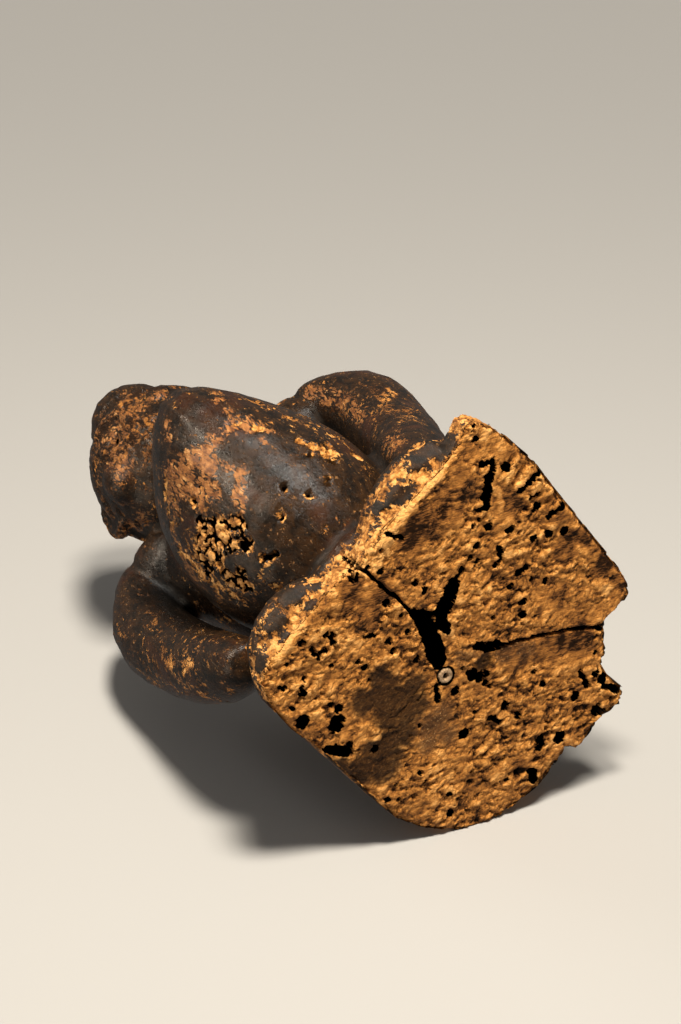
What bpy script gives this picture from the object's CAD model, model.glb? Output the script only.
import math
import time

import bmesh
import bpy
import numpy as np
from mathutils import Matrix, Vector, kdtree, noise


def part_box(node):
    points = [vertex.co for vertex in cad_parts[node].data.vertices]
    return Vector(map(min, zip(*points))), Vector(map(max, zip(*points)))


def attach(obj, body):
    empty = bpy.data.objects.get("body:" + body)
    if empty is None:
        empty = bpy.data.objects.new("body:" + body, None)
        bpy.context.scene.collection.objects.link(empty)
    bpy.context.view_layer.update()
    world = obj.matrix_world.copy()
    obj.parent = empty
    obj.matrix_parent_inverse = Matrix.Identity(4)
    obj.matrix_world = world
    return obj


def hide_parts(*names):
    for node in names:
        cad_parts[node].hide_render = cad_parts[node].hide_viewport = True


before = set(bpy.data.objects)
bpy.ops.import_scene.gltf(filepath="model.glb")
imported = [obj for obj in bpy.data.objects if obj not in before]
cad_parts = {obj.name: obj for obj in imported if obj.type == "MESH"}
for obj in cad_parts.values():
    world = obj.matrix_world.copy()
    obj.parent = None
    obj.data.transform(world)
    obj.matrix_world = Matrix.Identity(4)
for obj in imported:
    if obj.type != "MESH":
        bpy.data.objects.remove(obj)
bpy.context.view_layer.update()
startTime = time.time()
scene = bpy.context.scene
mm = 0.001


def report(stage):
    print(f"{stage}: {time.time() - startTime:.1f} s")


# Marks on the carving are in millimetres from a point on its underside; the ring ties them to the frame
ringMark = (-5.8, 11.5)
ringLow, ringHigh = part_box("lodged_ring")
ringMiddle = (ringLow + ringHigh) / 2
markShift = Vector((ringMiddle.x / mm - ringMark[0], ringMiddle.y / mm - ringMark[1], 0))


# Camera: looking up at the underside of the carving, which lies on the back corner of its block
cameraLook = dict(azimuth=-10, elevation=-54, roll=54.7, distance=640, fov=26, aimX=440, aimY=640)
imageWidth, imageHeight = 681, 1024


def cameraAxes():
    azimuth, elevation, roll = (math.radians(cameraLook[k]) for k in ("azimuth", "elevation", "roll"))
    back = Vector((
        math.sin(azimuth) * math.cos(elevation),
        -math.cos(azimuth) * math.cos(elevation),
        math.sin(elevation),
    ))
    level = Vector((math.cos(azimuth), math.sin(azimuth), 0))
    rise = back.cross(level)
    right = math.cos(roll) * level - math.sin(roll) * rise
    up = math.sin(roll) * level + math.cos(roll) * rise
    return right, up, back


camRight, camUp, camBack = cameraAxes()
focal = imageHeight / 2 / math.tan(math.radians(cameraLook["fov"] / 2))
offX = (cameraLook["aimX"] - imageWidth / 2) / focal
offY = (imageHeight / 2 - cameraLook["aimY"]) / focal
cameraData = bpy.data.cameras.new("camera")
cameraData.sensor_fit = "AUTO"
cameraData.angle = math.radians(cameraLook["fov"])
cameraData.clip_start = 0.01
cameraData.clip_end = 30
camera = bpy.data.objects.new("camera", cameraData)
scene.collection.objects.link(camera)
cameraPlace = markShift * mm + cameraLook["distance"] * mm * (camBack - offX * camRight - offY * camUp)
camera.matrix_world = Matrix((
    (camRight.x, camUp.x, camBack.x, cameraPlace.x),
    (camRight.y, camUp.y, camBack.y, cameraPlace.y),
    (camRight.z, camUp.z, camBack.z, cameraPlace.z),
    (0, 0, 0, 1),
))
scene.camera = camera
report("camera")


# Carved wood: the solid remeshed evenly and smoothed, its cracks and holes filled to be eaten anew
carving = dict(
    voxel=1.35, smooth=4.0, rounds=3, softAbove=(3, 14), crispHead=(132, 142), thin=0.5,
    plugHeight=15, cleftPlace=(2, -1), cleftRadius=17, cleftHeight=37,
)
plugOutline = [  # x, y: a little inside the edge of the underside
    (-8, -37), (-36, -35), (-42, -28), (-44, -16), (-42.5, 0), (-42.5, 20), (-41, 35), (-37, 45), (-32, 52),
    (-25, 58), (-9, 64), (3, 63), (20, 63), (27, 59), (28, 53), (33, 47), (37, 40), (46, 38), (50, 34),
    (50.5, 18), (50.5, -18), (48, -36), (40, -38), (4, -37),
]


def fillCuts(bm):
    corners = [bm.verts.new(((x + markShift.x) * mm, (y + markShift.y) * mm, 0)) for x, y in plugOutline]
    face = bm.faces.new(corners)
    raised = bmesh.ops.extrude_face_region(bm, geom=[face])
    top = [v for v in raised["geom"] if isinstance(v, bmesh.types.BMVert)]
    bmesh.ops.translate(bm, verts=top, vec=(0, 0, carving["plugHeight"] * mm))
    middle = Vector((*carving["cleftPlace"], carving["cleftHeight"] / 2)) + markShift
    bmesh.ops.create_cone(
        bm, cap_ends=True, segments=24, radius1=carving["cleftRadius"] * mm,
        radius2=carving["cleftRadius"] * mm, depth=carving["cleftHeight"] * mm,
        matrix=Matrix.Translation(middle * mm))
    bmesh.ops.recalc_face_normals(bm, faces=bm.faces)


def applyModifiers(piece):
    evaluated = piece.evaluated_get(bpy.context.evaluated_depsgraph_get())
    made = bpy.data.meshes.new_from_object(evaluated)
    old = piece.data
    piece.modifiers.clear()
    piece.data = made
    bpy.data.meshes.remove(old)


def vertexArrays(mesh):
    places = np.empty(len(mesh.vertices) * 3)
    mesh.vertices.foreach_get("co", places)
    normals = np.empty(len(mesh.vertices) * 3)
    mesh.vertices.foreach_get("normal", normals)
    return places.reshape(-1, 3) / mm - np.array(markShift), normals.reshape(-1, 3)


def smoothStep(value, low, high):
    share = np.clip((value - low) / (high - low), 0, 1)
    return share * share * (3 - 2 * share)


def weigh(piece, name, weights):
    group = piece.vertex_groups.new(name=name)
    levels = 20
    steps = np.clip(np.round(np.asarray(weights) * levels), 0, levels).astype(int)
    for step in range(levels + 1):
        group.add(np.where(steps == step)[0].tolist(), step / levels, "REPLACE")


bm = bmesh.new()
bm.from_mesh(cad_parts["figure"].data)
bmesh.ops.remove_doubles(bm, verts=bm.verts, dist=1e-7)
fillCuts(bm)
woodMesh = bpy.data.meshes.new("carvedWood")
bm.to_mesh(woodMesh)
bm.free()
wood = bpy.data.objects.new("carvedWood", woodMesh)
scene.collection.objects.link(wood)

remesh = wood.modifiers.new("remesh", "REMESH")
remesh.mode = "VOXEL"
remesh.voxel_size = carving["voxel"] * mm
applyModifiers(wood)
report(f"remeshed to {len(wood.data.polygons)} faces")

z = vertexArrays(wood.data)[0][:, 2]
weigh(wood, "soften", smoothStep(z, *carving["softAbove"]) * (1 - 0.6 * smoothStep(z, *carving["crispHead"])))
smooth = wood.modifiers.new("smooth", "LAPLACIANSMOOTH")
smooth.lambda_factor = carving["smooth"]
smooth.lambda_border = 0
smooth.iterations = carving["rounds"]
smooth.use_volume_preserve = True
smooth.vertex_group = "soften"
applyModifiers(wood)
report("smoothed")

# The parts that show little relief are thinned out, then the underside and the front are made finer
y, z = vertexArrays(wood.data)[0][:, 1:].T
shown = (z < 2) | ((y < -26) & (z < 112)) | (z > 136)  # underside, front and head
weigh(wood, "thin", np.where(shown, 0, 1))
thin = wood.modifiers.new("thin", "DECIMATE")
thin.ratio = carving["thin"]
thin.vertex_group = "thin"
thin.vertex_group_factor = 10
applyModifiers(wood)
wood.vertex_groups.clear()
report(f"thinned to {len(wood.data.polygons)} faces")


def makeFiner(bm, chosen, cuts):
    faces = [f for f in bm.faces if chosen(f, f.calc_center_median() / mm - markShift)]
    edges = list({e for f in faces for e in f.edges})
    bmesh.ops.subdivide_edges(bm, edges=edges, cuts=cuts, use_grid_fill=True)
    bmesh.ops.triangulate(bm, faces=[f for f in bm.faces if len(f.verts) > 4])


def onUnderside(face, centre):
    return centre.z < 1.2 and face.normal.z < -0.7


def onBellyOrFront(face, centre):
    onBelly = centre.y < -30 and abs(centre.x + 3) < 33 and 22 < centre.z < 90
    onFootFront = centre.y < -35 and centre.z < 13
    return face.normal.z > -0.7 and face.normal.y < -0.1 and (onBelly or onFootFront)


bm = bmesh.new()
bm.from_mesh(wood.data)
strays = [v for v in bm.verts if len(v.link_edges) < 3]  # a loose sliver that the thinning can leave
bmesh.ops.delete(bm, geom=strays, context="VERTS")
bm.normal_update()
makeFiner(bm, onBellyOrFront, 1)
makeFiner(bm, onUnderside, 2)
bm.to_mesh(wood.data)
triangles = sum(len(f.verts) - 2 for f in bm.faces)
bm.free()
report(f"finer: {triangles} triangles")


# What has eaten, worn and cracked the underside, in millimetres from its middle
eating = dict(
    level=0.75, deepest=2.6, lump=3.6, lumpDepth=0.72, pit=1.8, pitDepth=0.2, crumb=0.8, crumbDepth=0.14,
    broad=4.6, broadDepth=0.42, roll=11, rollDepth=0.5, gap=2.6, gapDepth=1.1, bandHeight=0.4, bend=2.2, bendBy=0.7,
    edgeReach=2.4, edgeDepth=1.3, tunnelDepth=5, strayHoles=230, pocket=2.5, grain=(0.81, 0.58),
)
wormHoles = [  # x, y, radius
    (47.9, -43.2, 0.7), (45.9, -39.5, 1.0), (47.6, -25.2, 1.6), (47.0, -7.2, 1.1), (29.1, -19.0, 0.9),
    (32.5, -14.8, 1.2), (36.9, -8.8, 1.4), (40.4, 0.1, 1.3), (44.9, 3.6, 1.2), (48.9, 7.1, 1.4),
    (5.0, -36.8, 0.7), (26.8, -2.9, 0.9), (32.2, 10.4, 0.8), (26.1, 6.2, 1.0), (25.9, 13.6, 1.2),
    (23.2, 16.9, 1.2), (16.0, 9.6, 0.7), (22.5, -11.8, 0.9), (-6.8, 18.0, 1.3), (0.9, 36.3, 1.4),
    (-13.4, 31.9, 1.8), (-19.6, 44.3, 0.8), (-31.0, 29.4, 0.8), (14.5, 36.0, 0.8), (2.0, 26.9, 0.8),
    (28.1, 54.4, 1.3), (18.7, 54.5, 1.4), (22.1, 64.1, 0.9), (6.7, 60.8, 2.0), (-5.6, -37.5, 1.7),
    (-10.9, -41.6, 1.6), (-4.0, -22.9, 1.1), (-22.6, -30.9, 0.9), (-21.5, -29.0, 1.0), (-28.9, -34.9, 1.0),
    (-11.0, -12.8, 1.0), (-12.1, -9.2, 1.0), (-5.1, -9.8, 0.8), (-8.5, -0.3, 1.0), (-35.9, -25.6, 0.8),
    (-41.6, -28.6, 0.9), (-38.9, -22.6, 1.3), (6.4, -16.4, 1.2), (6.0, -20.3, 0.9), (0.9, -31.9, 1.1),
    (-44.3, -15.7, 2.0), (-38.1, -6.0, 2.7), (-34.7, -9.3, 1.3), (3.8, -3.3, 2.0), (7.6, -4.2, 1.2),
]
grooves = [  # x, y, x, y, half width, depth
    (42.9, -31.9, 45.8, -30.5, 0.8, 3), (45.8, -30.5, 44.2, -27.9, 0.8, 3), (42.4, -27.6, 35.6, -20.8, 1.2, 3.5),
    (54.8, -14.5, 46.5, -15.6, 0.8, 3.4), (53.8, -4.4, 49.1, -6.0, 1.2, 1.8), (50.7, -25.4, 46.5, -24.5, 1.0, 1.8),
    (54.5, -9.7, 47.1, -9.2, 1.1, 1.4), (53.5, 0.2, 48, -1.2, 0.8, 3.2), (53.6, -20.5, 46.8, -19.0, 1.2, 1.6),
    (50.2, -9.6, 47.4, -10.6, 0.6, 3), (48.2, -6, 45.8, -6.5, 0.6, 3), (9.4, -39.1, 11.7, -34.8, 0.6, 3),
    (30.6, -5.2, 28.8, -3.2, 0.7, 3), (32.7, 5.8, 30.2, 5.1, 0.8, 3), (-10.0, 11.9, -12.6, 15.7, 0.8, 4),
    (-4.6, 35.6, -3.1, 38.8, 0.8, 3), (25.1, 49.9, 23.8, 55.5, 0.8, 4), (2.0, 56.2, 0.1, 58.1, 1.1, 4),
    (-29.1, -29.7, -26.1, -27.0, 0.7, 4), (-14.6, -20.2, -12.7, -17.8, 0.6, 3), (-44.9, -1.6, -41.4, 4.0, 1.2, 5),
    (23.9, -32.3, 21.0, -24.9, 0.35, 1), (18.3, -10.9, 14, -10, 0.8, 11), (14, -10, 11.8, -9.2, 1.6, 12),
    (11.8, -9.2, 9.4, -7.4, 2.1, 12), (9.4, -7.4, 6.3, -6, 2.3, 12), (6.3, -6, 2.7, -8.2, 1.2, 12),
    (2.7, -8.2, -0.1, -11.8, 1.2, 12), (4.4, -1.9, 3, 0.1, 1.1, 11), (-0.3, -13.4, -0.5, -9, 1, 12),
    (-0.5, -9, -0.4, -5.7, 1.5, 13), (-0.4, -5.7, -1.8, -1.5, 2.1, 14), (-1.8, -1.5, -3.2, 2.6, 2.5, 14),
    (-3.2, 2.6, -4.4, 5.8, 2.1, 14), (-4.4, 5.8, -5.1, 7.4, 1.2, 12), (0.4, 18.9, -0.2, 18.5, 1.4, 9),
    (1.6, 21.8, 1.2, 21.4, 1.1, 9), (5.2, 18.8, 3.8, 18.8, 3.2, 1.7), (-7.8, 65.5, -6.5, 62.4, 1.4, 4),
    (30.5, 57, 28.5, 58, 1.2, 4), (6.7, 11.9, 8.9, 15.9, 1.1, 12), (8.9, 15.9, 11.6, 18.2, 1.4, 12),
    (11.6, 18.2, 15.4, 21, 0.8, 12), (38.1, 42.5, 43.5, 47.5, 1.2, 8), (27.5, 60.5, 30.5, 66.5, 1.0, 7),
    (20.5, 64.5, 22.5, 70, 1.1, 7),
]
cracks = [  # half width, depth, points
    (0.42, 11, [(-3.9, -48), (-3.7, -44.3), (-3.4, -40.3), (-2.1, -34.7), (-1.6, -26.7), (-0.9, -21.7), (-0.3, -13.4)]),
    (0.25, 1.5, [(-9.7, 10.9), (-12.9, 9.5), (-16.5, 9.9)]), (0.7, 5, [(-9.7, 11.4), (-12.2, 15.0)]),
    (0.42, 11, [(11.6, 18.2), (16.5, 22), (20.2, 25.6), (23.5, 28.3), (29.8, 33.4), (35, 39), (39.7, 43.8),
                (44, 48)]),
    (0.2, 1.2, [(-8.8, 7.7), (-14.2, 7.1), (-21.5, 8.2), (-25.7, 9.1), (-32.7, 10.6), (-37.2, 10.4)]),
]
underZones = dict(  # x, y, radius
    cream=[
        (3.4, -44.5, 4.8), (10, -44.3, 3.4), (16.8, -42.7, 3.2), (24, -43.1, 3), (31.3, -42.1, 3), (43.2, -48.6, 4),
        (48.8, -40.8, 4.4), (-13.1, -42.4, 3.2), (-18.6, -41.2, 3), (-26.3, -40.1, 3), (-32.9, -39, 2.6),
        (48.2, 35.5, 2.4), (-1.3, -35.8, 3.2), (5, -39, 6), (1, -44, 4)],
    smooth=[
        (20.7, -31.4, 7), (14.5, -32.4, 5), (34.3, -30.9, 6), (42.2, -14.9, 4), (45.3, 12, 4.8), (-9.6, -34, 5),
        (-2.8, -28.1, 5), (-11.1, -24.9, 5), (23.5, 33.4, 6), (31.7, 41, 5), (13, 25.8, 5), (53, 27.1, 5),
        (53.5, 14, 4), (53, 36, 4), (49.8, 0.9, 3.2), (28, -33, 5)],
    dense=[
        (-21.9, 2.1, 7.3), (-27.7, -4, 4.8), (-19, 10.5, 5.5), (-14.4, 4.7, 4), (-30.5, 13, 5.5), (-43.1, 12.4, 5),
        (-45.9, 5.5, 3.2), (-20.3, -5.9, 4), (-26, 14, 6), (-38, 18, 5), (5.4, 18.9, 2.8), (-28.2, 13.1, 5.5),
        (-36.2, 11.2, 5), (-22.9, 11.5, 5), (-43.1, 10.9, 5), (-20.2, 5.9, 4.5), (-26, 6.5, 5), (-33.5, 16.5, 5)],
    glaze=[(-18.5, 21.6, 6), (-14.2, 20.6, 4), (-22.4, 23.6, 4), (-17.5, 27.4, 3.6)],
    lumpy=[
        (-28.1, 31.5, 5.6), (-20.8, 46.2, 7), (-9.9, 56.5, 7), (-37.4, 31.1, 4.8), (5.4, 61.5, 6.5),
        (17.6, 62.2, 4.8), (4, 52, 5), (26.3, 64.4, 4)],
    pale=[(-20, -26, 12), (-33, -15, 9), (-12, -35, 7)],
    wet=[(17.2, 26.8, 3.6), (11.7, 21.1, 4), (6.7, 14.8, 3.2), (1.9, 11.5, 3.2)],
)
proudBands = [  # half width, points
    (1.5, [(7, -38), (15.6, -39.4), (25.3, -40.4), (32.4, -40.9), (40, -41.5)]),
    (1.3, [(-37, -37.4), (-27.2, -40), (-18.1, -41.7), (-12.2, -42.1)]),
    (1.0, [(40.5, -26.5), (41, -20), (38.5, -15.5)]), (0.9, [(45, -21.5), (52, -24.5)]),
    (0.9, [(46, -17.5), (53, -18)]), (0.8, [(47, -11), (53.5, -12.3)]), (0.8, [(48, -5), (54, -7)]),
    (0.8, [(9.5, -13.5), (8, -8.5), (4, -1), (3.5, 6)]),
]


def strokeReach(px, py, ax, ay, bx, by):
    dx, dy = bx - ax, by - ay
    along = np.clip(((px - ax) * dx + (py - ay) * dy) / (dx * dx + dy * dy + 1e-9), 0, 1)
    return np.hypot(px - ax - along * dx, py - ay - along * dy)


def billow(points, size, octaves=3, seed=0.0, stretch=(1, 1, 1)):
    steps = np.asarray(points) / (np.array(stretch) * size) + seed
    heights = np.array([noise.turbulence(Vector(step), octaves, True) for step in steps])
    return np.clip((heights - heights.mean()) / (2 * heights.std()), -1.2, 1.4)


def fractal(points, size, octaves=3, fade=0.85, seed=0.0, stretch=(1, 1, 1)):
    steps = np.asarray(points) / (np.array(stretch) * size) + seed
    return np.array([noise.fractal(Vector(step), fade, 2.1, octaves) for step in steps])


places, normals = vertexArrays(wood.data)
x, y, z = places.T
count = len(places)
under = (normals[:, 2] < -0.6) & (z < 2.5)
flat = np.where(under)[0]
rim = kdtree.KDTree(int(((~under) & (z < 4)).sum()))
for i in np.where((~under) & (z < 4))[0]:
    rim.insert((x[i], y[i], 0), int(i))
rim.balance()
px, py = x[flat], y[flat]
grainX, grainY = eating["grain"]
points = np.column_stack([grainX * px + grainY * py, grainX * py - grainY * px, np.zeros(len(flat))])
edge = np.array([rim.find((a, b, 0))[2] for a, b in zip(px, py)])
report(f"{count} vertices, {len(flat)} under")

# Underside: crumbly lumps with small pits between them, drawn out along the grain
wobble = fractal(points, eating["bend"], 2, seed=40.3)
crossWobble = fractal(points, eating["bend"], 2, seed=71.9)
bent = points + eating["bendBy"] * np.column_stack([wobble, crossWobble, 0 * wobble])
lumps = 0.75 * billow(bent, eating["lump"], 3, 3.1, (1.5, 0.85, 1))
lumps += 0.35 * fractal(bent, 1.6, 3, 0.8, 13.1, (1.3, 0.9, 1))
pits = smoothStep(fractal(bent, eating["pit"], 2, 0.8, 23.5, (1.25, 0.9, 1)), 0.4, 0.66)
crumbs = fractal(points, eating["crumb"], 2, 0.8, 91.2)
rolls = fractal(points, eating["roll"], 2, 1.0, 5.7, (1.4, 0.8, 1))
ridges = 1 - np.abs(fractal(bent, 4.2, 2, 0.9, 61.1, (2.6, 0.9, 1))) * 2.2


def zone(name, blur=0.35, low=0.65, high=1.35):
    amount = np.zeros(len(flat))
    for cx, cy, reach in underZones[name]:
        away = np.hypot(px - cx, py - cy) * (1 + blur * lumps) / reach
        amount = np.maximum(amount, 1 - smoothStep(away, low, high))
    return amount


smoothed, dense, lumpy, cream, pale, wet = (zone(k) for k in ("smooth", "dense", "lumpy", "cream", "pale", "wet"))
glaze = zone("glaze", 0.2, 0.3, 1.5)
dense = np.clip(dense - glaze, 0, 1)
uneven = np.clip(0.85 + 0.9 * fractal(points, 9, 2, 1.0, 33.7), 0.35, 1.3)
rough = uneven * (1 - 0.6 * smoothed - 0.5 * dense - 0.85 * glaze)
band = np.zeros(len(flat))
for halfWidth, line in proudBands:
    for (ax, ay), (bx, by) in zip(line, line[1:]):
        reach = strokeReach(px, py, ax, ay, bx, by) + 0.9 * lumps + 0.5 * crumbs + 0.5 * wobble
        band = np.maximum(band, 1 - smoothStep(reach, halfWidth * 0.6, halfWidth * 1.3))
broad = fractal(bent, eating["broad"], 2, 1.0, 18.3)
gaps = lumpy * smoothStep(fractal(bent, eating["gap"], 3, 0.8, 44.7, (1.5, 0.9, 1)) - 0.35 * lumps, 0.38, 0.55)
relief = eating["lumpDepth"] * (lumps * (1 - 0.5 * lumpy) + 1.5 * lumpy * (ridges - 0.3)) - 0.5 * pits
relief = relief * rough * (1 - 0.5 * band) + eating["bandHeight"] * band + eating["broadDepth"] * broad
relief += eating["crumbDepth"] * crumbs * (1 - 0.8 * glaze)
depth = eating["level"] - relief + eating["pitDepth"] * pits * rough - eating["rollDepth"] * rolls
depth += (np.clip(1 - edge / eating["edgeReach"], 0, 1) ** 2) * eating["edgeDepth"] * (0.7 + 0.9 * lumps)
depth = np.clip(depth, 0.06, eating["deepest"]) + eating["gapDepth"] * gaps
hollow = 0.5 * gaps


# Lowers the wood near a mark; a deep one also gets a black mouth that reaches just past its edge
def sink(reach, halfWidth, deep, soft=0.4):
    if deep > 2.8:
        lip = min(max(0.3 * halfWidth, 0.1), 0.6)
        np.maximum(hollow, np.clip(0.5 + (halfWidth + lip - reach) / 1.2, 0, 1), out=hollow)
    inset = 0.15 if halfWidth > 1 else 0.0
    share = 1 - smoothStep(reach, halfWidth - soft * 0.4 - inset, halfWidth + soft * 0.6 - inset)
    np.maximum(depth, share * (deep + 0.3 * crumbs), out=depth)
    np.maximum(hollow, 0.42 * share * min(deep / 2, 1), out=hollow)


for cx, cy, radius in wormHoles:
    sink(np.hypot(px - cx, (py - cy) * 1.1) + 0.3 * radius * (lumps + crumbs), radius * 0.9, eating["tunnelDepth"])
for ax, ay, bx, by, halfWidth, deep in grooves:
    sink(strokeReach(px, py, ax, ay, bx, by) + 0.55 * lumps + 0.3 * crumbs, halfWidth, deep)
for halfWidth, deep, line in cracks:
    for (ax, ay), (bx, by) in zip(line, line[1:]):
        sink(strokeReach(px + 0.5 * wobble, py + 0.5 * wobble, ax, ay, bx, by) + 0.25 * lumps, halfWidth, deep)
stray = np.random.default_rng(12)
strayX = stray.uniform(-48, 55, eating["strayHoles"])
strayY = stray.uniform(-42, 67, eating["strayHoles"])
strayRadius = 0.25 + 0.7 * stray.random(eating["strayHoles"]) ** 3
for cx, cy, radius in zip(strayX, strayY, strayRadius):
    near = np.abs(px - cx) + np.abs(py - cy) < 1.5
    if near.any() and rough[near].mean() > 0.5:
        sink(np.hypot(px - cx, py - cy) + 0.3 * radius * crumbs, radius, 1.4 + 3 * radius, 0.3)
sink(np.hypot(px - ringMark[0], py - ringMark[1]), eating["pocket"], 3.0, 0.3)  # it holds the ring
places[flat, 2] += depth
report("underside eaten")


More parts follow.
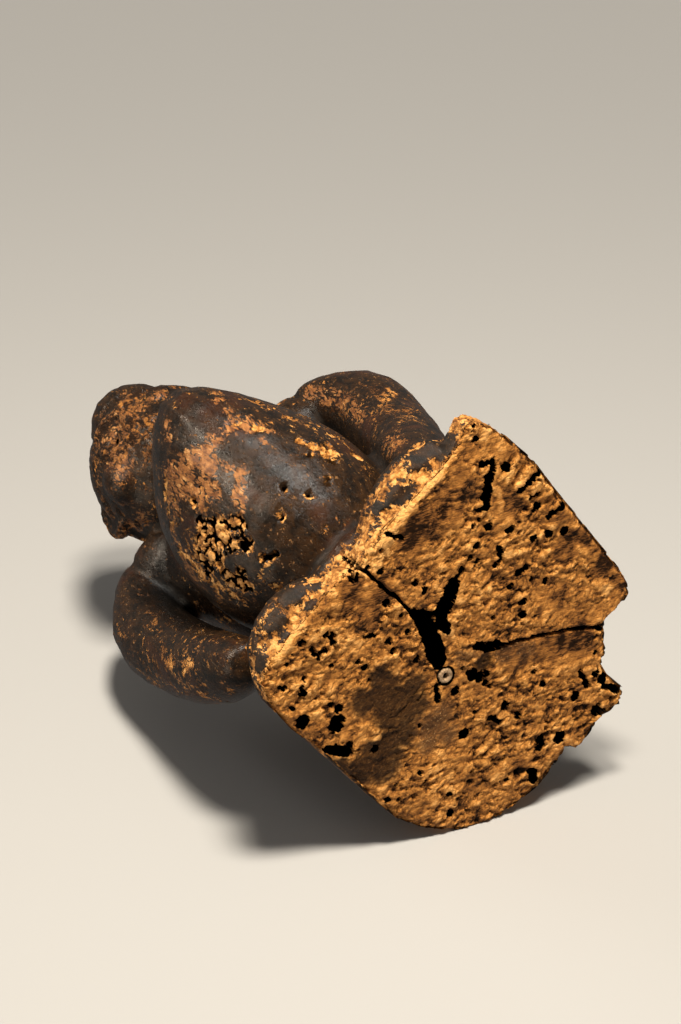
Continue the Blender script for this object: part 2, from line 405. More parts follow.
# Wear of the body: how bare each part is, how deep the wear goes, and its places in millimetres
wear = dict(
    armsBeyond=(33, 38), footBelow=(9, 19), headAbove=(138, 150),
    body=0.1, arms=0.2, head=0.24, chin=0.52, foot=0.5, backFoot=0.4, bare=(0.47, 0.56), flake=2.4, patch=7.5,
    flakeDepth=0.32, lumpDepth=0.5, facet=0.22, facetSize=9, gnaw=2.4, gnawDepth=0.72, rub=4.5, grain=(1, 1, 1.7),
)
bodyZones = dict(  # x, y, z, radius
    polished=[  # rubbed down to orange and tan
        (7.4, -58.3, 68.5, 3), (8.5, -56.9, 66, 3), (9.9, -55.4, 63.9, 2.6), (11.2, -54, 61.7, 2.2),
        (3.3, -59.4, 66.9, 2.6), (-0.1, -59.9, 67.1, 2.6), (-3.4, -60.1, 67.9, 3), (-6.8, -58.8, 67.3, 3.2),
        (-10.1, -58.3, 69.3, 4), (-13.1, -57, 74.1, 4), (-15.4, -54.6, 68.9, 4), (-16.8, -53, 62.6, 4),
        (-17, -54.2, 73.3, 4), (-16.2, -55, 78.5, 4), (-8.1, -57.7, 63.8, 2.8), (-5.8, -57.5, 61.3, 2),
        (-5.2, -56.4, 57.5, 1.8), (-3.6, -55.2, 52.4, 2), (-6.2, -53.9, 50.1, 2.8), (-9.2, -52.5, 47.2, 2.8),
        (-11.5, -51, 44.9, 1.6), (-11.1, -55.9, 61.4, 2.6), (-12.8, -53.7, 56.9, 2.4), (8.2, -53.9, 57, 2),
        (9.6, -60, 82.5, 2.4), (8.4, -59.4, 75, 2.2), (-6.1, -62, 90.3, 2.4), (-9.1, -60.7, 86.2, 2.2),
        (11.7, -58.6, 87.6, 1.6), (30.8, -4.7, 143.2, 2.4), (39.7, -4.3, 135.7, 2.4), (41.2, -4.6, 130.2, 2.8),
        (41.9, -4.8, 122.9, 3), (42.4, -5.8, 114.4, 3), (42.1, -6.6, 109.9, 3), (42, -8.1, 103.3, 3),
        (41.2, -9.3, 97.7, 2.8), (41.2, -11.4, 90.9, 2.8), (35.3, -25.8, 46.8, 4), (34.8, -21.9, 55.8, 4),
        (54, -8, 97, 3), (-62.4, -8.8, 83.6, 2.5), (-57.7, -18, 53.3, 2.5), (-59.7, -13.3, 60, 2.5),
        (-17.2, -54.3, 82, 3.2), (-21, -50.4, 80.5, 3.2), (-23.8, -47.9, 74.4, 3), (-10.4, -59.1, 74.9, 3.4),
        (-27.5, -43.1, 78.5, 3), (-31, -37.2, 75.8, 3), (-33.7, -31, 71.9, 3), (-16.5, -27, 170, 6),
        (-10, -31.5, 162, 6), (-20, -26, 159, 5), (-3, -29.5, 168, 5), (-12, -30, 175, 5)],
    flaked=[  # bare wood
        (7.4, -58.3, 68.5, 1.3), (9.9, -55.4, 63.9, 1.3), (11.2, -54, 61.7, 1.1), (1.1, -49.1, 37.4, 1.1),
        (-1.4, -48.5, 35.6, 0.9), (-4, -47.9, 34.4, 0.8), (-6, -47.6, 34.3, 1.3), (4.3, -45.2, 32.1, 0.9),
        (-16.7, -34.2, 38.4, 1.8), (-22.6, -36.9, 34.6, 1.8), (-20.4, -38.5, 33.1, 1.5), (-18.2, -39.4, 30.9, 1.5),
        (-21.1, -34, 28.9, 2), (-3.2, -39.4, 22.5, 1.8), (1.1, -40.1, 23.7, 1.5), (-1, -39.8, 23, 1.8),
        (-22.2, -49.3, 76.7, 2.2), (-25.3, -46.1, 72.7, 2.4), (-28, -42.7, 68.3, 2.4), (-29.7, -39.4, 63.5, 2.6),
        (-30.4, -36.6, 58.2, 2.4), (-24.1, -47, 80.9, 2.6), (-27.5, -43.1, 78.5, 2.4), (-31, -37, 75.2, 2.6),
        (-31.5, -36.5, 70.2, 2.8), (-32, -36, 66.1, 2.8), (-32.5, -33.8, 63.6, 2.6), (-21.7, -49.1, 84.5, 2.6),
        (-18.5, -52.5, 84, 1.6), (-33.4, -28, 57.1, 2.6), (-30.9, -30.5, 48.3, 2.4), (-31.6, -32.5, 53.8, 2.4),
        (20.7, -44.9, 69.0, 1.8), (17.2, -44.9, 50.7, 2.2), (25.2, -35.9, 61.1, 1.8), (18.6, -41.6, 47.5, 2.4),
        (16.0, -47.2, 53.3, 1.4), (25.1, -30.9, 49.4, 1.5), (18.4, -42.0, 47.1, 2.2), (17.7, -50.6, 80.9, 2),
        (25.5, -36.5, 76.6, 1.8), (26.9, -32.1, 62.3, 1.6), (53.5, -7.5, 103.2, 1.8), (54.0, -8.0, 95.9, 1.6),
        (49.1, -14.5, 72.0, 1.8), (45.0, -18.7, 63.4, 1.4), (47.7, -13.0, 83.2, 1.8), (46.6, -18.7, 59.8, 1.4),
        (50.6, -9.8, 95.1, 2.2), (-50.0, -7.8, 105.9, 1.6), (-51.7, -10.1, 98.5, 1.6), (-57.6, -9.2, 103.1, 1.4),
        (-55.4, -14.5, 79.5, 1.5), (-44.7, -16.9, 68.1, 1.4), (-43.2, -24.2, 48.7, 1.2), (-38.8, -17.1, 55.5, 1.4),
        (-62.3, -9.2, 81.0, 1.8), (-58.4, -15.7, 67.8, 2), (-57.6, -18.0, 55.6, 2), (-56.0, -17.8, 64.7, 1.7),
        (-54.3, -21.8, 51.6, 1.7), (-56.3, -20.0, 43.2, 1.7), (-62.9, -7.7, 88.6, 1.7), (-55.2, -7.1, 117.1, 1.5),
        (-11.3, -30.5, 173.9, 4.5), (-17.1, -27.8, 175.1, 3.6), (-9.5, -32.7, 160.2, 4), (-2.7, -29.2, 169.3, 4),
        (-18.8, -26.8, 158.5, 4), (-9.3, -28.1, 153.9, 3.6), (-22.2, -27.7, 167.0, 3.4), (-1.6, -30.8, 176.5, 4),
        (6.8, -25.0, 174.1, 3)],
    eaten=[  # cream lumps that worms have left standing between black pits
        (-22.2, -48.3, 60.2, 2.6), (-21.5, -48, 55.5, 3), (-19.3, -48.7, 51.7, 3), (-16.8, -48.8, 46.3, 3),
        (-15.6, -48.3, 42.8, 2.2), (-24.7, -45.1, 57.4, 3), (-22.2, -46, 50.6, 3), (-26.3, -42.6, 55.1, 3),
        (-25.5, -42.1, 50.7, 3), (-29.3, -39.5, 60.8, 2.8), (-21.6, -44.9, 45.5, 2.4), (-18.6, -44.6, 39.9, 2.2),
        (-28.5, -35.9, 47.9, 3), (-27.4, -34.6, 42.3, 2.4), (-31.9, -33.7, 58.2, 2.6), (-29.5, -37.7, 56.4, 2.6),
        (-26.8, -43.6, 62.4, 2.4), (-25.9, -34.5, 38.5, 1.8), (-24.6, -38.8, 41.1, 2), (-18.9, -51.6, 65.7, 1.6)],
    flecked=[  # thick with small bare flecks
        (20, -45, 68, 13), (26, -34, 62, 12), (16, -52, 80, 10), (24, -32, 48, 8), (-58, -12, 66, 12),
        (-60, -8, 88, 10), (-56, -19, 48, 10), (50, -9, 98, 10), (48, -14, 76, 9), (0, -58, 92, 9),
        (-15, -42, 33, 7), (-27, -33, 42, 7), (-30, -33, 62, 7)],
    dark=[  # still black
        (-1.1, -58.8, 63.1, 2.6), (-3.9, -58.2, 61.8, 1.8), (5.6, -56.2, 59.2, 4.5), (2.7, -57.2, 59.7, 3),
        (-13.6, -55.5, 67.4, 1.2), (-8.2, -55, 54.7, 2), (3, -62, 75.7, 6), (-1, -63.3, 80.3, 7),
        (-4.8, -51.7, 43.1, 5), (-8, -49.3, 38.3, 6), (-11.2, -44.7, 31.9, 8), (-4.4, -44.1, 28.3, 6),
        (-6.1, -40.2, 23.6, 4), (-13.8, -39.7, 27, 5), (5.2, -47.6, 36.8, 6), (10.2, -48.6, 44.4, 6),
        (14.2, -38.9, 33.3, 7), (-8, -55, 55.5, 2.4), (-12.5, -56, 66.2, 1.6), (-0.1, -28.5, 163.2, 3),
        (-6.5, -59.6, 100.6, 4), (-18.2, -24.5, 149.7, 5), (-26.6, -25.0, 157.6, 5), (-29.1, -16.8, 150.1, 6),
        (4.8, -26.7, 164.4, 3)],
    sheen=[  # glossiest
        (6.7, -47.5, 37.9, 9), (6.6, -49.5, 43, 7), (-5.2, -54.4, 51, 4), (-7.6, -53.5, 49.9, 4), (4, -46.5, 34, 5)],
    footPatina=[  # black left on the block
        (-14.5, -40.7, 6.5, 2), (-20.3, -42.9, 8.3, 3), (-30, -42.3, 7.6, 2.8), (-19.6, -40.4, 3, 1.5),
        (-31.2, -39.8, 2.4, 1.8), (-41.4, -37.8, 3.6, 2.8), (-38.3, -39.6, 11.7, 2.4), (38, -42, 7.1, 3.6),
        (30, -43, 9, 3.2), (20.5, -42.3, 5, 3.2), (41, -42.7, 3.5, 2.4), (34, -43.8, 8, 3), (-24, -43, 13, 3),
        (14, -42, 9, 2.6)],
)
tunnels = [  # x, y, z, radius, depth
    (20.8, -40.7, 50.9, 1.1, 4), (19.4, -41.4, 48, 1.1, 4), (17.9, -42, 45.2, 1.2, 4), (17.6, -41, 42.8, 1.3, 4),
    (17.2, -44.7, 50.1, 0.8, 3), (14.4, -46.1, 46.2, 0.9, 3), (15.9, -47.3, 53.3, 0.6, 2),
    (12.4, -42.8, 36.1, 0.6, 3), (11, -42.7, 34.3, 0.6, 3), (9.7, -55.1, 62.7, 0.7, 3), (1.3, -49.8, 39.3, 0.9, 3),
    (4.7, -45.8, 33.3, 0.6, 2), (-6, -47, 33.3, 0.8, 3), (-18.2, -41.3, 33.6, 0.9, 4), (-17.2, -41.4, 32.6, 1, 4),
    (-16, -41.6, 31.3, 0.9, 4), (-14.8, -41.7, 30.2, 0.8, 3), (-14.4, -54.6, 64.8, 0.5, 1),
    (-18.9, -51.6, 65.7, 0.7, 2), (-23.9, -46.3, 58.6, 0.9, 3), (-27.4, -39.6, 51, 1.2, 3),
    (-16.8, -45.4, 38.7, 0.6, 2), (-13.9, -49.9, 44.8, 0.6, 2), (25.1, -31, 49.7, 0.8, 2),
    (-48.3, -23.2, 53.9, 0.8, 3), (-16.3, -28.5, 164.4, 1.3, 3), (-2.5, -40, 15.5, 0.5, 2), (-2.7, -40, 13, 0.6, 3),
    (-2.9, -40, 10.5, 0.6, 3), (-3, -40, 8, 0.6, 3), (-3.2, -40, 5.5, 0.7, 3), (-3.4, -40, 3, 0.7, 4),
    (-3.6, -40, 1, 0.8, 4),
]
others = np.where(~under)[0]
around = places[others]
ox, oy, oz = around.T


def softSpots(name):
    rest = np.ones(len(others))
    for sx, sy, sz, radius in bodyZones[name]:
        rest *= 1 - np.exp(-((ox - sx) ** 2 + (oy - sy) ** 2 + (oz - sz) ** 2) / (radius * 1.15) ** 2)
    return 1 - rest


def bending(mesh):
    ends = np.empty(len(mesh.edges) * 2, int)
    mesh.edges.foreach_get("vertices", ends)
    a, b = ends.reshape(-1, 2).T
    links = np.bincount(a, minlength=count) + np.bincount(b, minlength=count)
    step = places[b] - places[a]
    length = np.linalg.norm(step, axis=1) + 1e-6
    rise = np.bincount(a, (step * normals[a]).sum(1) / length ** 2, count)
    rise -= np.bincount(b, (step * normals[b]).sum(1) / length ** 2, count)
    bend = rise / np.maximum(links, 1)
    for _ in range(6):
        nearby = np.bincount(a, bend[b], count) + np.bincount(b, bend[a], count)
        bend = 0.4 * bend + 0.6 * nearby / np.maximum(links, 1)
    return bend


bend = bending(wood.data)[others]  # below zero on edges, above zero in creases
crease = smoothStep(bend, 0.02, 0.09)
crest = smoothStep(-bend, 0.055, 0.15)
onArms = smoothStep(np.abs(ox), *wear["armsBeyond"]) * (oz > 22) * (oz < 138)
onFoot = 1 - smoothStep(oz, *wear["footBelow"])
onHead = smoothStep(oz, *wear["headAbove"])
headBelow = onHead * smoothStep(-normals[others, 2], -0.15, 0.45)
onFront = (oy < -33) * (1 - smoothStep(oz, 11, 15))
onBackFoot = onFoot * (1 - onFront)
flakeNoise = fractal(around, wear["flake"], 4, 0.7, 17.1, wear["grain"])
patchNoise = fractal(around, wear["patch"], 3, 0.8, 63.4, wear["grain"])
footNoise = fractal(around, 4.5, 4, 0.8, 55.2)
gnawed = billow(around, wear["gnaw"], 3, 81.9)
flakedSpots, eatenSpots, darkSpots = (softSpots(name) for name in ("flaked", "eaten", "dark"))

# How bare the wood is: the parts' own levels, then spots, edges and noise, then the block's front and back
flake = (
    wear["body"] + (wear["arms"] - wear["body"]) * onArms + (wear["foot"] - wear["body"]) * onFoot
    + (wear["head"] - wear["body"]) * onHead + (wear["chin"] - wear["head"]) * headBelow)
flake += (0.5 - 0.1 * onHead) * flakedSpots + 0.17 * softSpots("flecked") - 0.4 * darkSpots
flake += 0.25 * crest - (0.35 + 0.5 * onHead) * crease
flake += 0.32 * flakeNoise + 0.2 * patchNoise
flake = np.maximum(flake, 0.8 * eatenSpots + 0.25 * patchNoise)
frontFlake = 0.8 + 0.45 * footNoise - 0.9 * softSpots("footPatina") + 0.4 * (1 - smoothStep(oz, 0.5, 2.5))
flake = flake * (1 - onFront) + frontFlake * onFront
flake = flake * (1 - onBackFoot) + (wear["backFoot"] + 0.55 * footNoise) * onBackFoot

# How rubbed the coat is
polish = 0.12 + (0.75 - 0.05 * onHead) * softSpots("polished") + 0.3 * crest - 0.3 * darkSpots
polish -= (0.4 + 0.5 * onHead) * crease
polish += 0.3 * fractal(around, wear["rub"], 4, 0.8, 29.5, wear["grain"]) + (0.05 + 0.45 * crest) * onHead
polish += 0.36 * headBelow - 0.4 * onFront

mouths, lips = [], np.zeros(len(others))
for sx, sy, sz, radius, deep in tunnels:
    away = around - np.array((sx, sy, sz))
    inside = np.clip((away * normals[others]).sum(1), -4, 4)
    reach = np.sqrt(np.maximum((away ** 2).sum(1) - inside ** 2, 0)) + 0.35 * gnawed * radius
    mouths.append((reach, radius, deep))
    lips = np.maximum(lips, np.exp(-((reach - radius - 0.6) / 0.7) ** 2) * (radius > 0.55))
flake += 0.4 * lips

stripped = smoothStep(flake, *wear["bare"])
reliefAround = np.clip(0.5 + 0.45 * gnawed, 0, 1)
inward = stripped * (wear["flakeDepth"] + wear["lumpDepth"] * (1 - reliefAround)) + 0.12 * smoothStep(polish, 0.4, 0.7)
inward += wear["facet"] * (fractal(around, wear["facetSize"], 2, 1.0, 51.3) + 0.4) + onHead * 0.22 * (flakeNoise + 0.5)
channels = smoothStep(eatenSpots, 0.3, 0.6) * (1 - smoothStep(billow(around, 3.8, 3, 27.7), -0.3, 0.1))
inward += wear["gnawDepth"] * channels
throat = 0.9 * channels
for reach, radius, deep in mouths:
    share = 1 - smoothStep(reach, radius * 0.8, radius * 0.8 + 0.5)
    inward = np.maximum(inward, share * deep)
    throat = np.maximum(throat, np.clip(0.5 + (radius - reach) / 1.2, 0, 1))
places[others] -= normals[others] * inward[:, None]
report("body worn")

wood.data.vertices.foreach_set("co", ((places + np.array(markShift)) * mm).ravel())
wood.data.update()


def setMark(name, underValues, otherValues):
    values = np.zeros(count, np.float32)
    values[flat] = underValues
    values[others] = otherValues
    wood.data.attributes.new(name, "FLOAT", "POINT").data.foreach_set("value", values)


# Masks that the material reads, first for the underside and then for the rest
reliefUnder = 0.55 + 0.32 * relief / eating["lumpDepth"] - 0.2 * pits * rough
reliefUnder += 0.12 * band - 0.12 * smoothed - 0.08 * lumpy - 0.3 * gaps
reliefAround += 0.2 * eatenSpots - 0.3 * onHead - 0.12 * onArms + 0.05 * onFront
creamUnder = 1.1 * cream + 0.35 * pale + 0.4 * band - 0.6 * smoothed * (1 - band) - 0.35 * wet
creamAround = (0.8 + 0.8 * patchNoise) * np.maximum(flakedSpots, np.maximum(eatenSpots, 0.7 * lips)) * (1 - onHead)
creamAround += 0.2 * onFoot + 0.3 * onFront - 0.5 * onHead - 0.3 * onArms
setMark("flake", 1.0, flake)
setMark("polish", 0.0, polish)
setMark("relief", np.clip(reliefUnder, 0, 1), np.clip(reliefAround, 0, 1))
setMark("under", 1, 0)
setMark("hollow", hollow, throat)
setMark("dense", dense, 0)
setMark("glaze", np.maximum(glaze, 0.6 * wet), 0)
setMark("cream", np.clip(creamUnder, -1, 1), creamAround)
setMark("crease", 0, crease)
setMark("calm", np.clip(1.15 * smoothed + 1.6 * (0.7 - uneven), 0, 1), 0.2)
setMark("sheen", 0, np.clip(softSpots("sheen") * (1 + 0.8 * flakeNoise), 0, 1) - 3 * onFoot)
for polygon in wood.data.polygons:
    polygon.use_smooth = True
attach(wood, "root")
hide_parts("figure")
report("marked")


# Materials, with small helpers that add nodes to a tree
def addNode(tree, kind, **settings):
    node = tree.nodes.new(kind)
    for name, value in settings.items():
        setattr(node, name, value)
    return node


def plug(tree, socket, value):
    if isinstance(value, (int, float)):
        socket.default_value = value
    elif isinstance(value, tuple):
        socket.default_value = (*value, 1)
    else:
        tree.links.new(value, socket)


def addNoise(tree, vector, size, detail=4, roughness=0.55, distortion=0.0):
    node = addNode(tree, "ShaderNodeTexNoise")
    for name, value in (
            ("Vector", vector), ("Scale", 1 / size), ("Detail", detail), ("Roughness", roughness),
            ("Distortion", distortion)):
        plug(tree, node.inputs[name], value)
    return node.outputs["Fac"]


def addMath(tree, operation, first, second=None, third=None):
    node = addNode(tree, "ShaderNodeMath", operation=operation)
    for socket, value in zip(node.inputs, (first, second, third)):
        if value is not None:
            plug(tree, socket, value)
    return node.outputs[0]


def addRange(tree, value, low, high, toLow=0.0, toHigh=1.0):
    node = addNode(tree, "ShaderNodeMapRange", interpolation_type="SMOOTHSTEP")
    for name, number in (
            ("Value", value), ("From Min", low), ("From Max", high), ("To Min", toLow), ("To Max", toHigh)):
        plug(tree, node.inputs[name], number)
    return node.outputs["Result"]


def creases(tree, vector, size):
    middle = addMath(tree, "MULTIPLY_ADD", addNoise(tree, vector, size, 2, 0.5, 0.3), 4, -2)
    return addMath(tree, "MINIMUM", addMath(tree, "ABSOLUTE", middle), 1)


def addMix(tree, factor, first, second):
    node = addNode(tree, "ShaderNodeMix", data_type="RGBA")
    plug(tree, node.inputs[0], factor)
    plug(tree, node.inputs[6], first)
    plug(tree, node.inputs[7], second)
    return node.outputs[2]


def addBlend(tree, factor, first, second):
    node = addNode(tree, "ShaderNodeMix", data_type="FLOAT")
    for socket, value in zip(node.inputs[0:1] + node.inputs[2:4], (factor, first, second)):
        plug(tree, socket, value)
    return node.outputs[0]


def addRamp(tree, value, stops):
    node = addNode(tree, "ShaderNodeValToRGB")
    ramp = node.color_ramp
    for place, colour in stops[2:]:
        ramp.elements.new(place)
    for element, (place, colour) in zip(ramp.elements, stops):
        element.position = place
        element.color = (*colour, 1)
    plug(tree, node.inputs["Fac"], value)
    return node.outputs["Color"]


def inMillimetres(tree, vector, stretch=(1, 1, 1)):
    node = addNode(tree, "ShaderNodeMapping")
    node.inputs["Scale"].default_value = tuple(1 / mm / s for s in stretch)
    tree.links.new(vector, node.inputs["Vector"])
    return node.outputs["Vector"]


def newGroup(name, inputs, outputs):
    tree = bpy.data.node_groups.new(name, "ShaderNodeTree")
    for label, kind in inputs:
        tree.interface.new_socket(name=label, in_out="INPUT", socket_type=kind)
    for label, kind in outputs:
        tree.interface.new_socket(name=label, in_out="OUTPUT", socket_type=kind)
    return tree, addNode(tree, "NodeGroupInput").outputs, addNode(tree, "NodeGroupOutput").inputs


# Eaten wood: light on its crests and dark in its pits, folded and crumbly, or calm with fibres along the grain
eatenWood = dict(
    large=11, blotch=3.4, fine=0.75, fold=2.1, crumb=0.75, fibre=(2.4, 0.36, 1),
    pit=(0.02, 0.008, 0.0025), brown=(0.15, 0.056, 0.015), tan=(0.35, 0.138, 0.029), gold=(0.58, 0.247, 0.056),
    crest=(0.84, 0.42, 0.125), cream=(0.80, 0.40, 0.12), dense=(0.03, 0.013, 0.005), denseGlint=(0.13, 0.066, 0.026),
)


def eatenWoodGroup():
    tree, given, out = newGroup(
        "eatenWood",
        [("Vector", "NodeSocketVector"), ("Relief", "NodeSocketFloat"), ("Dense", "NodeSocketFloat"),
         ("Cream", "NodeSocketFloat"), ("Calm", "NodeSocketFloat")],
        [("Color", "NodeSocketColor"), ("Height", "NodeSocketFloat")])
    c = eatenWood
    here = inMillimetres(tree, given["Vector"], (1.3, 0.9, 1.0))
    large = addNoise(tree, here, c["large"], 3)
    blotches = addNoise(tree, here, c["blotch"], 4, 0.6, 0.4)
    grain = addNoise(tree, here, c["fine"], 4, 0.7, 0.3)
    folds = creases(tree, here, c["fold"])
    crumbs = creases(tree, here, c["crumb"])
    alongGrain = addNode(tree, "ShaderNodeMapping")
    alongGrain.inputs["Rotation"].default_value = (0, 0, -math.atan2(grainY, grainX))
    tree.links.new(given["Vector"], alongGrain.inputs["Vector"])
    fibres = addNoise(tree, inMillimetres(tree, alongGrain.outputs["Vector"], c["fibre"]), 1, 4, 0.6, 0.3)
    level = addMath(tree, "ADD", given["Relief"], addRange(tree, large, 0.32, 0.68, -0.17, 0.13))
    level = addMath(tree, "ADD", level, addRange(tree, blotches, 0.3, 0.7, -0.15, 0.15))
    lively = addMath(tree, "MULTIPLY_ADD", given["Calm"], -0.85, 1)
    foldTone = addRange(tree, folds, 0.0, 0.4, -0.22, 0.09)
    crumbTone = addRange(tree, crumbs, 0.0, 0.45, -0.09, 0.06)
    level = addMath(tree, "MULTIPLY_ADD", addMath(tree, "ADD", foldTone, crumbTone), lively, level)
    fibrous = addMath(tree, "ADD", addRange(tree, fibres, 0.3, 0.7, -0.2, 0.2), -0.07)
    level = addMath(tree, "MULTIPLY_ADD", given["Calm"], fibrous, level)
    level = addMath(tree, "ADD", level, addMath(tree, "MULTIPLY", given["Cream"], 0.24))
    tone = addRamp(tree, level, [
        (0.0, c["pit"]), (0.17, c["brown"]), (0.42, c["tan"]), (0.7, c["gold"]), (1.0, c["crest"])])
    creamMask = addMath(tree, "MULTIPLY", addRange(tree, given["Cream"], 0.2, 0.9), addRange(tree, level, 0.55, 0.85))
    tone = addMix(tree, creamMask, tone, c["cream"])
    denseTone = addMix(tree, addRange(tree, grain, 0.52, 0.72), c["dense"], c["denseGlint"])
    tone = addMix(tree, addMath(tree, "MULTIPLY", given["Dense"], 0.93), tone, denseTone)
    tree.links.new(tone, out["Color"])
    height = addMath(tree, "MULTIPLY_ADD", folds, 1.2, addMath(tree, "MULTIPLY_ADD", crumbs, 0.45, grain))
    height = addMath(tree, "MULTIPLY", height, lively)
    fibreHeight = addMath(tree, "MULTIPLY", addMath(tree, "MULTIPLY", fibres, 1.6), given["Calm"])
    tree.links.new(addMath(tree, "ADD", height, fibreHeight), out["Height"])
    return tree


# Handled patina: the old black coat, mottled brown and red, with pale specks and fine scratches
patina = dict(
    large=13, mottle=3.2, fine=0.8, speckSize=1.15, stretch=(1, 1, 1.7), gloss=(0.25, 0.42),
    black=(0.006, 0.0036, 0.002), brown=(0.032, 0.0135, 0.004), red=(0.052, 0.014, 0.004), grey=(0.020, 0.012, 0.0065),
    speck=(0.30, 0.14, 0.045), scratch=(0.12, 0.08, 0.05),
)


def patinaGroup():
    tree, given, out = newGroup(
        "handledPatina",
        [("Vector", "NodeSocketVector"), ("Specks", "NodeSocketFloat"), ("Grime", "NodeSocketFloat")],
        [("Color", "NodeSocketColor"), ("Roughness", "NodeSocketFloat"), ("Height", "NodeSocketFloat")])
    c = patina
    here = inMillimetres(tree, given["Vector"], c["stretch"])
    large = addNoise(tree, here, c["large"], 3)
    mottle = addNoise(tree, here, c["mottle"], 5, 0.65, 0.6)
    fine = addNoise(tree, here, c["fine"], 4, 0.7)
    tone = addMix(tree, addRange(tree, mottle, 0.36, 0.64), c["black"], c["brown"])
    tone = addMix(tree, addRange(tree, large, 0.52, 0.7, 0.0, 0.6), tone, c["red"])
    tone = addMix(tree, addRange(tree, fine, 0.46, 0.7, 0.0, 0.6), tone, c["grey"])
    speckLevel = addNoise(tree, here, c["speckSize"], 5, 0.72, 0.4)
    speckLevel = addMath(tree, "ADD", speckLevel, addRange(tree, mottle, 0.35, 0.65, -0.05, 0.06))
    speckLevel = addMath(tree, "ADD", speckLevel, addMath(tree, "MULTIPLY", given["Specks"], 0.1))
    specks = addRange(tree, speckLevel, 0.685, 0.735)
    tone = addMix(tree, specks, tone, c["speck"])
    scratches = addNoise(tree, inMillimetres(tree, given["Vector"], (0.35, 0.5, 9)), 1, 2, 0.5)
    tone = addMix(tree, addRange(tree, scratches, 0.66, 0.72, 0.0, 0.45), tone, c["scratch"])
    tone = addMix(tree, addMath(tree, "MULTIPLY", given["Grime"], 0.75), tone, c["black"])
    tree.links.new(tone, out["Color"])
    roughness = addRange(tree, fine, 0.32, 0.68, *c["gloss"])
    roughness = addMath(tree, "ADD", roughness, addMath(tree, "MULTIPLY", specks, 0.25))
    tree.links.new(roughness, out["Roughness"])
    height = addMath(tree, "SUBTRACT", addMath(tree, "MULTIPLY", fine, 0.6), specks)
    tree.links.new(height, out["Height"])
    return tree


def attribute(tree, name):
    return addNode(tree, "ShaderNodeAttribute", attribute_name=name, attribute_type="GEOMETRY").outputs["Fac"]


def groupNode(tree, group, **sources):
    node = addNode(tree, "ShaderNodeGroup", node_tree=group)
    for name, source in sources.items():
        plug(tree, node.inputs[name], source)
    return node.outputs


# The carving's material: patina, rubbed to orange and tan, flaked off to eaten wood, and black in every hole
wornWood = dict(
    ragged=1.3, scale=2.2, stretch=(1, 1, 1.7), streak=(1.6, 1.6, 4), bump=0.75, bumpDepth=0.5, inside=(1.9, 2.6),
    orange=(0.15, 0.05, 0.012), tan=(0.40, 0.155, 0.037), worn=(0.62, 0.32, 0.11), rim=(0.022, 0.008, 0.003),
    glaze=(0.125, 0.052, 0.016), glint=(0.55, 0.32, 0.13), throat=(0.002, 0.0012, 0.0008),
    rubbedMatt=0.46, bareMatt=0.85, glazeMatt=0.5, specular=0.3,
)
eatenTree = eatenWoodGroup()
patinaTree = patinaGroup()


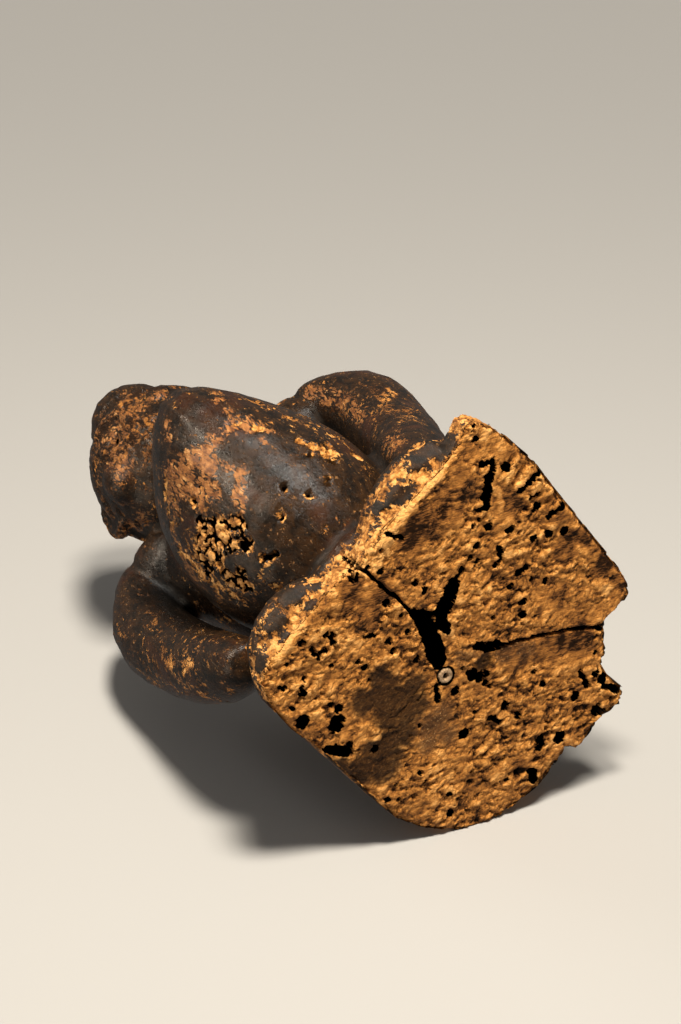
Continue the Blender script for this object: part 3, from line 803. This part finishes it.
def woodMaterial():
    c = wornWood
    material = bpy.data.materials.new("wornDarkWood")
    material.use_nodes = True
    tree = material.node_tree
    shader = tree.nodes["Principled BSDF"]
    here = addNode(tree, "ShaderNodeTexCoord").outputs["Object"]
    eatenOut = groupNode(
        tree, eatenTree, Vector=here, Relief=attribute(tree, "relief"), Dense=attribute(tree, "dense"),
        Cream=attribute(tree, "cream"), Calm=attribute(tree, "calm"))
    patinaOut = groupNode(tree, patinaTree, Vector=here, Specks=0.6, Grime=attribute(tree, "crease"))
    grainPlace = inMillimetres(tree, here, c["stretch"])
    ragged = addNoise(tree, grainPlace, c["ragged"], 5, 0.7, 0.5)
    flakeLevel = addMath(tree, "ADD", attribute(tree, "flake"), addRange(tree, ragged, 0.27, 0.73, -0.36, 0.36))
    bare = addRange(tree, flakeLevel, 0.49, 0.53)
    rim = addRange(tree, flakeLevel, 0.40, 0.49)
    streaks = addNoise(tree, inMillimetres(tree, here, c["streak"]), 1, 5, 0.65)
    scales = creases(tree, inMillimetres(tree, here, (1, 1, 2.4)), c["scale"])
    polishLevel = addMath(tree, "ADD", attribute(tree, "polish"), addRange(tree, ragged, 0.2, 0.8, -0.42, 0.42))
    polishLevel = addMath(tree, "ADD", polishLevel, addRange(tree, scales, 0.0, 0.3, -0.45, 0.06))
    rubbed = addRange(tree, polishLevel, 0.4, 0.62)
    rubbedTone = addMix(tree, addRange(tree, streaks, 0.38, 0.6), c["orange"], c["tan"])
    rubbedTone = addMix(tree, addRange(tree, streaks, 0.57, 0.68), rubbedTone, c["worn"])
    tone = addMix(tree, rubbed, patinaOut["Color"], rubbedTone)
    tone = addMix(tree, addMath(tree, "MULTIPLY", rim, 0.55), tone, c["rim"])
    tone = addMix(tree, bare, tone, eatenOut["Color"])
    glaze = attribute(tree, "glaze")
    tone = addMix(tree, addMath(tree, "MULTIPLY", glaze, 0.9), tone, c["glaze"])
    glints = addRange(tree, addNoise(tree, grainPlace, 0.5, 2, 0.6), 0.62, 0.68)
    tone = addMix(tree, addMath(tree, "MULTIPLY", glints, glaze), tone, c["glint"])
    axes = addNode(tree, "ShaderNodeSeparateXYZ")
    tree.links.new(here, axes.inputs[0])
    deepInside = addRange(tree, axes.outputs["Z"], *(height * mm for height in c["inside"]))
    deepInside = addMath(tree, "MULTIPLY", deepInside, attribute(tree, "under"))
    edged = addMath(tree, "ADD", attribute(tree, "hollow"), addRange(tree, ragged, 0.3, 0.7, -0.12, 0.12))
    black = addMath(tree, "MAXIMUM", addRange(tree, edged, 0.44, 0.54), deepInside)
    tone = addMix(tree, black, tone, c["throat"])
    tree.links.new(tone, shader.inputs["Base Color"])
    matt = addMath(tree, "MULTIPLY_ADD", attribute(tree, "crease"), 0.4, patinaOut["Roughness"])
    roughness = addMath(tree, "MULTIPLY_ADD", attribute(tree, "sheen"), -0.07, matt)
    for mask, level in ((rubbed, c["rubbedMatt"]), (bare, c["bareMatt"]), (glaze, c["glazeMatt"]), (black, 1.0)):
        roughness = addBlend(tree, mask, roughness, level)
    tree.links.new(roughness, shader.inputs["Roughness"])
    tree.links.new(black, shader.inputs["Metallic"])  # a black metal, so that the holes catch no gloss
    height = addBlend(tree, bare, addMath(tree, "MULTIPLY_ADD", patinaOut["Height"], 0.8, 0.9), eatenOut["Height"])
    bump = addNode(tree, "ShaderNodeBump")
    bump.inputs["Strength"].default_value = c["bump"]
    bump.inputs["Distance"].default_value = c["bumpDepth"] * mm
    tree.links.new(height, bump.inputs["Height"])
    tree.links.new(bump.outputs["Normal"], shader.inputs["Normal"])
    shader.inputs["Specular IOR Level"].default_value = c["specular"]
    return material


wood.data.materials.append(woodMaterial())


# Ring: a pale little ring stuck in its hole
strayRing = dict(
    outer=2.4, inner=0.95, inset=0.03, uneven=0.012, squared=0.6, sides=20, steps=56,
    blotch=0.7, pale=(0.46, 0.31, 0.18), dust=(0.20, 0.12, 0.06), matt=0.6,
)


def ringMaterial():
    c = strayRing
    material = bpy.data.materials.new("paleRing")
    material.use_nodes = True
    tree = material.node_tree
    shader = tree.nodes["Principled BSDF"]
    here = inMillimetres(tree, addNode(tree, "ShaderNodeTexCoord").outputs["Object"])
    dusty = addRange(tree, addNoise(tree, here, c["blotch"]), 0.4, 0.65)
    tree.links.new(addMix(tree, dusty, c["pale"], c["dust"]), shader.inputs["Base Color"])
    shader.inputs["Roughness"].default_value = c["matt"]
    return material


def makeRing():
    c = strayRing
    low, high = ringLow.z / mm + c["inset"], ringHigh.z / mm - c["inset"]
    middle = Vector(((c["inner"] + c["outer"]) / 2, 0, (low + high) / 2))
    bm = bmesh.new()
    bmesh.ops.create_circle(bm, segments=c["sides"], radius=1, matrix=Matrix.Rotation(math.pi / 2, 4, "X"))
    for v in bm.verts:  # the round section is squared off a little
        across, rise = (math.copysign(abs(share) ** c["squared"], share) / 2 for share in (v.co.x, v.co.z))
        v.co = middle + Vector((across * (c["outer"] - c["inner"]), 0, rise * (high - low)))
    bmesh.ops.spin(
        bm, geom=bm.verts[:] + bm.edges[:], cent=(0, 0, 0), axis=(0, 0, 1), angle=math.tau,
        steps=c["steps"], use_merge=True)
    bmesh.ops.remove_doubles(bm, verts=bm.verts, dist=1e-4)
    bmesh.ops.recalc_face_normals(bm, faces=bm.faces)
    for v in bm.verts:  # worn a little uneven, and put in its place
        inwards = 1 - c["uneven"] * (1 + noise.fractal(v.co * 0.9, 0.8, 2.1, 3))
        v.co = Vector((v.co.x * inwards, v.co.y * inwards, v.co.z))
        v.co = v.co * mm + Vector((ringMiddle.x, ringMiddle.y, 0))
    mesh = bpy.data.meshes.new("strayRing")
    bm.to_mesh(mesh)
    bm.free()
    for polygon in mesh.polygons:
        polygon.use_smooth = True
    mesh.materials.append(ringMaterial())
    ring = bpy.data.objects.new("strayRing", mesh)
    scene.collection.objects.link(ring)
    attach(ring, "root")
    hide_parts("lodged_ring")


makeRing()
report("ring")


# Floor: the carving lies on its side on one pale surface, and stands beside it on another, each seen from one side
floorLook = dict(
    size=30, below=0.2, lying=(0.42, 0.41, 0.395), standing=(0.72, 0.70, 0.67),
    lean=(0.63, -0.78, 0), touch=(-36.9, 55.4, 0),
)


def floorMaterial(name, colour):
    material = bpy.data.materials.new(name)
    material.use_nodes = True
    tree = material.node_tree
    shader = tree.nodes["Principled BSDF"]
    shader.inputs["Base Color"].default_value = (*colour, 1)
    shader.inputs["Roughness"].default_value = 1
    shader.inputs["Specular IOR Level"].default_value = 0
    clear = addNode(tree, "ShaderNodeBsdfTransparent")
    oneSided = addNode(tree, "ShaderNodeMixShader")
    tree.links.new(addNode(tree, "ShaderNodeNewGeometry").outputs["Backfacing"], oneSided.inputs["Fac"])
    tree.links.new(shader.outputs[0], oneSided.inputs[1])
    tree.links.new(clear.outputs[0], oneSided.inputs[2])
    tree.links.new(oneSided.outputs[0], tree.nodes["Material Output"].inputs["Surface"])
    return material


def addFloor(name, place, facing, colour):
    bm = bmesh.new()
    placed = Matrix.Translation(place) @ Vector(facing).to_track_quat("Z", "Y").to_matrix().to_4x4()
    bmesh.ops.create_grid(bm, x_segments=1, y_segments=1, size=floorLook["size"] / 2, matrix=placed)
    mesh = bpy.data.meshes.new(name)
    bm.to_mesh(mesh)
    bm.free()
    mesh.materials.append(floorMaterial(name, colour))
    plane = bpy.data.objects.new(name, mesh)
    scene.collection.objects.link(plane)
    return plane


lying = addFloor("lyingFloor", (Vector(floorLook["touch"]) + markShift) * mm, floorLook["lean"], floorLook["lying"])
standing = addFloor("standingFloor", (0, 0, -floorLook["below"] * mm), (0, 0, 1), floorLook["standing"])
for plane in (lying, standing):
    plane.visible_shadow = False
    plane.visible_glossy = False
standing.visible_diffuse = False


# Light: a soft key and three far lights that gloss doesn't show, and three lights that only gloss shows
world = bpy.data.worlds.new("studio")
world.use_nodes = True
worldTree = world.node_tree
worldTree.nodes["Background"].inputs["Color"].default_value = (1, 0.955, 0.89, 1)
lightPath = addNode(worldTree, "ShaderNodeLightPath")
strength = addMath(worldTree, "MULTIPLY_ADD", lightPath.outputs["Is Camera Ray"], 0.4, 0.15)
worldTree.links.new(strength, worldTree.nodes["Background"].inputs["Strength"])
scene.world = world


def softLight(name, place, aim, size, power, colour):
    data = bpy.data.lights.new(name, "AREA")
    data.shape = "DISK"
    data.size = size
    data.energy = power
    data.color = colour
    light = bpy.data.objects.new(name, data)
    light.location = place
    light.rotation_mode = "QUATERNION"
    light.rotation_quaternion = (Vector(aim) - Vector(place)).to_track_quat("-Z", "Y")
    scene.collection.objects.link(light)
    return light


def farLight(name, source, angle, power, colour):
    data = bpy.data.lights.new(name, "SUN")
    data.angle = math.radians(angle)
    data.energy = power
    data.color = colour
    light = bpy.data.objects.new(name, data)
    light.rotation_mode = "QUATERNION"
    light.rotation_quaternion = Vector(source).to_track_quat("Z", "Y")
    light.visible_glossy = False
    scene.collection.objects.link(light)


def seenFrom(right, up, back):
    return camRight * right + camUp * up + camBack * back


belly = Vector((0.004, -0.054, 0.046))  # where the gloss is to show
arm = Vector((-0.046, -0.032, 0.030))
glossLights = [  # name, place, aim, size, power, colour
    ("window", belly + Vector((0.6, -0.67, 0.17)), belly, 0.2, 5.8, (1, 0.95, 0.87)),
    ("warmGloss", belly + seenFrom(-0.50, 0.35, 0.06), belly, 0.1, 2.6, (1, 0.84, 0.66)),
    ("armGloss", arm + seenFrom(-0.58, -0.16, 0.05), arm, 0.12, 0.6, (1, 0.82, 0.62)),
]
key = softLight("key", seenFrom(0.0, 0.56, 0.46), (0, 0, 0.05), 0.14, 6.5, (1, 0.92, 0.8))
key.visible_glossy = False
for settings in glossLights:
    softLight(*settings).visible_diffuse = False
farLight("farKey", seenFrom(0.12, 0.66, 0.52), 11, 2.7, (1, 0.93, 0.82))
farLight("overhead", (-0.3, -0.5, 0.95), 30, 1.4, (1, 0.97, 0.93))
farLight("behind", (-0.55, 0.75, 0.5), 30, 1.3, (1, 0.97, 0.93))

scene.view_settings.view_transform = "Standard"
scene.view_settings.look = "None"
report("lit")
